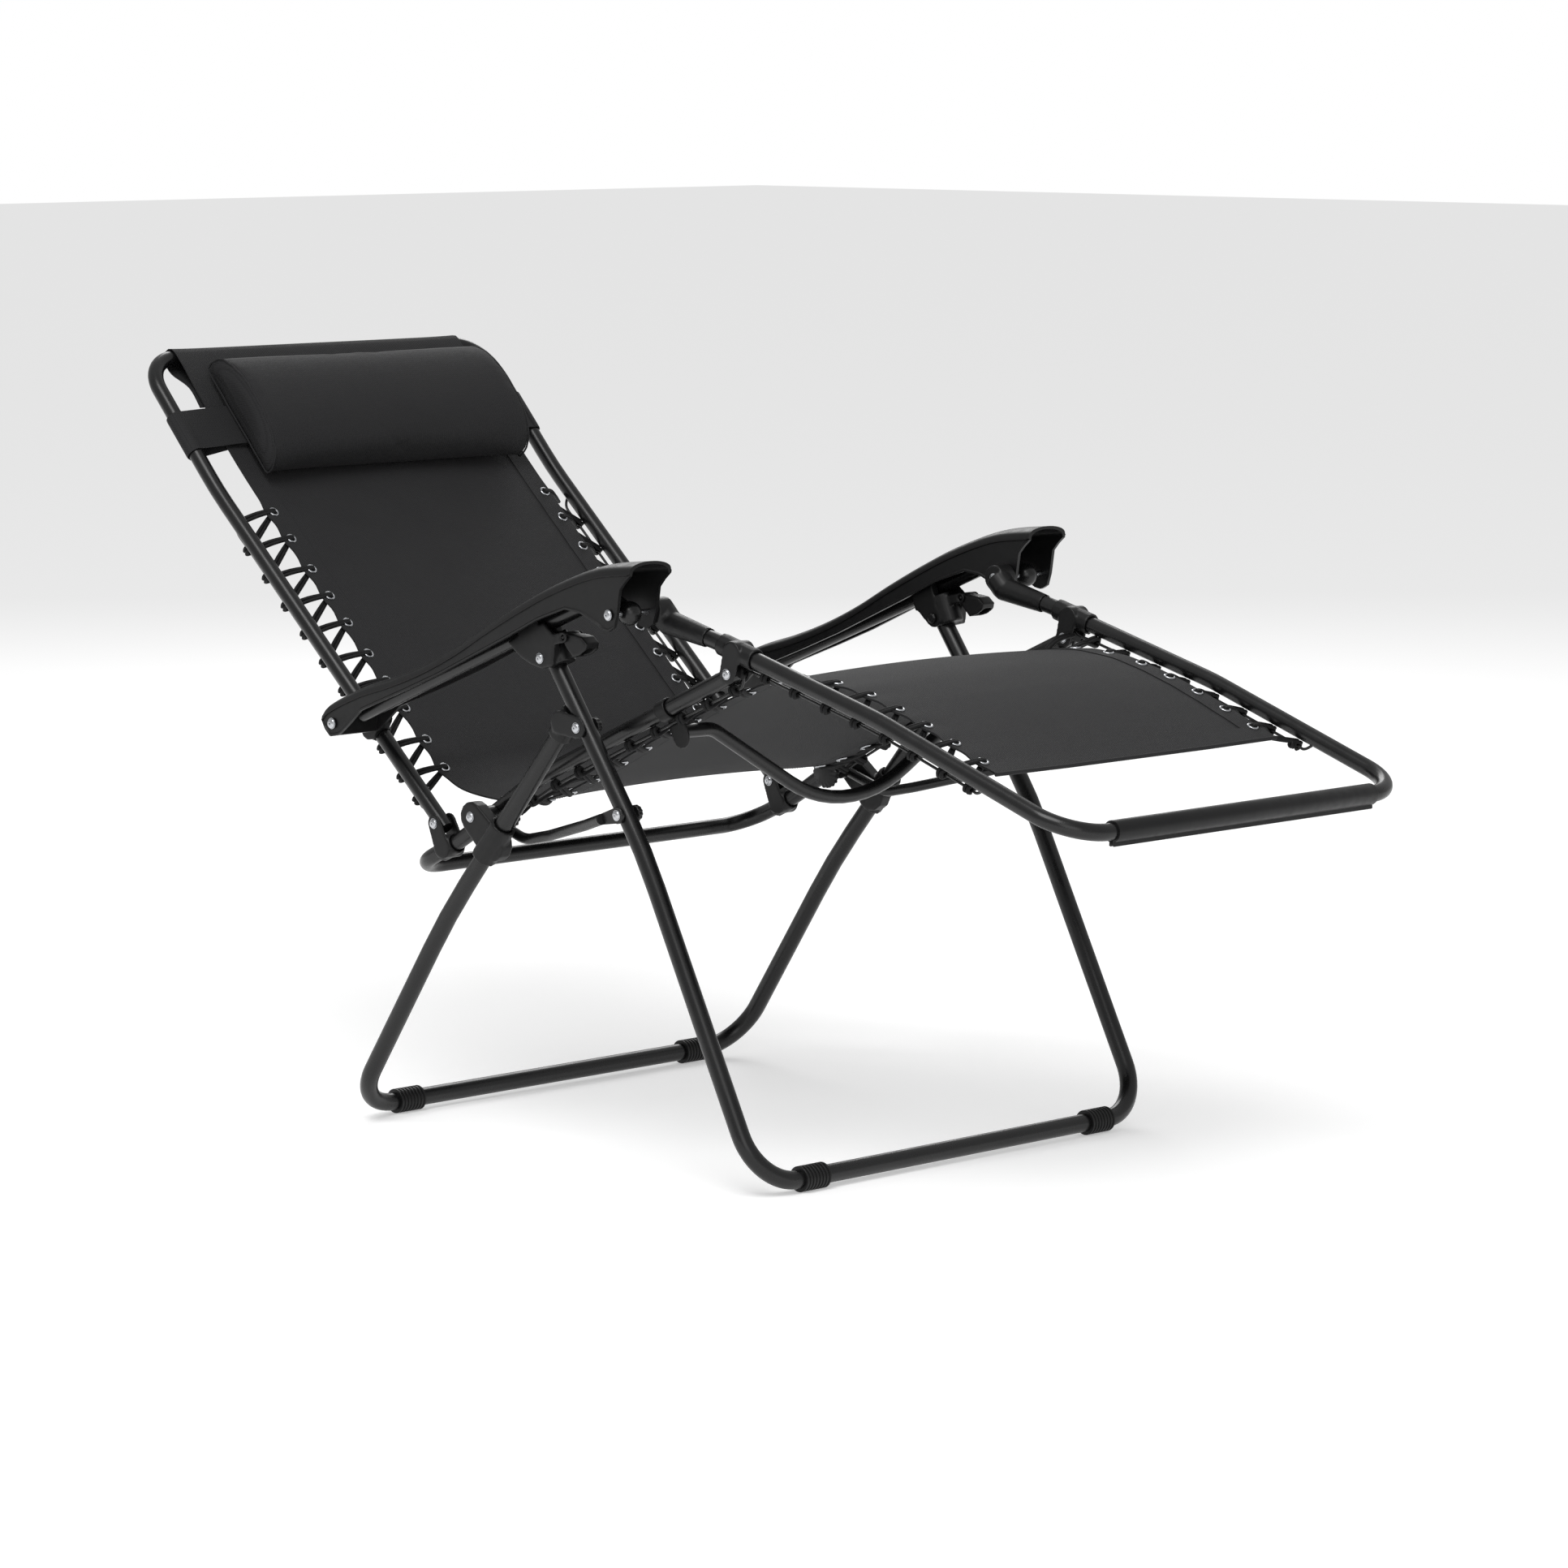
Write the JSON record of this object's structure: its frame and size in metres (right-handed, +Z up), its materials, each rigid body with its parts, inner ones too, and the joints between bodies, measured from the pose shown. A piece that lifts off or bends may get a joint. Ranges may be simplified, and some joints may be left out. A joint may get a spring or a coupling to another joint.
{
  "type": "zero gravity recliner",
  "caption": "Folding zero gravity lounge chair: scissor tube base, seat, back and leg-rest tube frames with a laced mesh sling, padded headrest and armrests that slide and lock.",
  "frame": {"origin": "The middle of the outline on the floor: halfway between the two armrests and halfway between the foot sleeve and the top bar.", "axes": "+X points to the sitter's left, +Y to the head end (the long way of the chair), +Z up; metres in the packed object."},
  "size_m": [0.6862, 1.4698, 0.8452],
  "materials": {
    "coated_steel": "satin black powder coat on round steel tube",
    "moulded_plastic": "matte black moulded plastic with a fine grain",
    "chrome": "bright plated bolt heads",
    "mesh_fabric": "charcoal-black open woven mesh with a fine rib",
    "pillow_fabric": "charcoal-black mesh cover over a soft filling",
    "elastic_cord": "black braided elastic cord"
  },
  "bodies": {
    "front_legs": {"front_leg_frame": "coated_steel", "front_foot_cap_left": "moulded_plastic", "front_foot_cap_right": "moulded_plastic", "scissor_bolt_left": "chrome", "scissor_bolt_right": "chrome", "link_bolt_left": "chrome", "link_bolt_right": "chrome", "lock_bolt_left": "chrome", "lock_bolt_right": "chrome"},
    "rear_legs": {"rear_leg_frame": "coated_steel", "rear_foot_cap_left": "moulded_plastic", "rear_foot_cap_right": "moulded_plastic", "rear_leg_end_left": "moulded_plastic", "rear_leg_end_right": "moulded_plastic"},
    "sliders": {"slider_sleeve_left": "moulded_plastic", "slider_sleeve_right": "moulded_plastic"},
    "seat_pivots": {"seat_pivot_bolt_left": "chrome", "seat_pivot_bolt_right": "chrome"},
    "links": {"link_bar_left": "coated_steel", "link_bar_right": "coated_steel"},
    "seat": {"seat_frame": "coated_steel", "back_hinge_bracket_left": "moulded_plastic", "back_hinge_bracket_right": "moulded_plastic", "back_hinge_bolt_left": "chrome", "back_hinge_bolt_right": "chrome", "seat_stretcher": "coated_steel", "stretcher_tab_left": "moulded_plastic", "stretcher_tab_right": "moulded_plastic", "seat_fabric": "mesh_fabric", "seat_lacing_left": "elastic_cord", "seat_lacing_right": "elastic_cord"},
    "leg_rest": {"leg_rest_frame": "coated_steel", "knee_clamp_left": "moulded_plastic", "knee_clamp_right": "moulded_plastic", "knee_bolt_left": "chrome", "knee_bolt_right": "chrome", "leg_rest_end_left": "moulded_plastic", "leg_rest_end_right": "moulded_plastic", "foot_sleeve": "moulded_plastic", "leg_rest_fabric": "mesh_fabric", "leg_rest_lacing_left": "elastic_cord", "leg_rest_lacing_right": "elastic_cord"},
    "back": {"back_frame": "coated_steel", "armrest_clip_left": "moulded_plastic", "armrest_clip_right": "moulded_plastic", "back_fabric": "mesh_fabric", "back_lacing_left": "elastic_cord", "back_lacing_right": "elastic_cord"},
    "headrest": {"headrest_pillow": "pillow_fabric"},
    "armrests": {"armrest_shell_left": "moulded_plastic", "armrest_shell_right": "moulded_plastic", "armrest_rod_left": "coated_steel", "armrest_rod_right": "coated_steel", "armrest_front_bolt_left": "chrome", "armrest_front_bolt_right": "chrome"},
    "locks": {"lock_housing_left": "moulded_plastic", "lock_housing_right": "moulded_plastic"},
    "lock_lever_left": {"lock_lever_left": "moulded_plastic"},
    "lock_lever_right": {"lock_lever_right": "moulded_plastic"}
  },
  "joints": [
    {"name": "fold", "type": "hinge", "parent": "front_legs", "child": "rear_legs", "pos_m": [0, -0.0643, 0.476], "axis": [1, 0, 0], "range_deg": [-8, 0]},
    {"name": "slider_on_rear_leg", "type": "slide", "parent": "rear_legs", "child": "sliders", "axis": [0, 0.6454, -0.7639], "range_m": [0, 0.025]},
    {"name": "seat_on_slider", "type": "hinge", "parent": "sliders", "child": "seat_pivots", "pos_m": [0, 0.1177, 0.362], "axis": [1, 0, 0], "range_deg": [-4, 0]},
    {"name": "seat_tilt", "type": "hinge", "parent": "seat_pivots", "child": "seat", "pos_m": [0, 0.1177, 0.362], "axis": [1, 0, 0], "range_deg": [-3, 7]},
    {"name": "link_swing", "type": "hinge", "parent": "front_legs", "child": "links", "pos_m": [0, -0.1263, 0.388], "axis": [1, 0, 0], "range_deg": [-13, 0]},
    {"name": "recline", "type": "hinge", "parent": "seat", "child": "back", "pos_m": [0, 0.2117, 0.343], "axis": [1, 0, 0], "range_deg": [-5, 14]},
    {"name": "leg_rest_tilt", "type": "hinge", "parent": "seat", "child": "leg_rest", "pos_m": [0, -0.2483, 0.544], "axis": [1, 0, 0], "range_deg": [-9, 24]},
    {"name": "armrest_swing", "type": "hinge", "parent": "back", "child": "armrests", "pos_m": [0, 0.3057, 0.452], "axis": [1, 0, 0], "range_deg": [-20, 8]},
    {"name": "lock_swing", "type": "hinge", "parent": "front_legs", "child": "locks", "pos_m": [0, -0.0143, 0.547], "axis": [1, 0, 0], "range_deg": [-15, 0]},
    {"name": "lock_lever_left_press", "type": "hinge", "parent": "locks", "child": "lock_lever_left", "pos_m": [0.309, -0.04901, 0.57188], "axis": [1, 0, 0], "range_deg": [-12, 0]},
    {"name": "lock_lever_right_press", "type": "hinge", "parent": "locks", "child": "lock_lever_right", "pos_m": [-0.309, -0.04901, 0.57188], "axis": [1, 0, 0], "range_deg": [-12, 0]},
    {"name": "headrest_slide", "type": "slide", "parent": "back", "child": "headrest", "axis": [0, 0.6729, 0.7397], "range_m": [-0.03, 0.01]}
  ],
  "couplings": [
    {"joint": "slider_on_rear_leg", "follows": "fold", "m_per_rad": -0.134},
    {"joint": "seat_on_slider", "follows": "fold", "ratio": 0.339},
    {"joint": "link_swing", "follows": "fold", "ratio": 1.193},
    {"joint": "lock_swing", "follows": "fold", "ratio": 1.339},
    {"joint": "seat_tilt", "follows": "recline", "ratio": 0.402},
    {"joint": "leg_rest_tilt", "follows": "recline", "ratio": 1.383},
    {"joint": "armrest_swing", "follows": "recline", "ratio": -1.128}
  ]
}
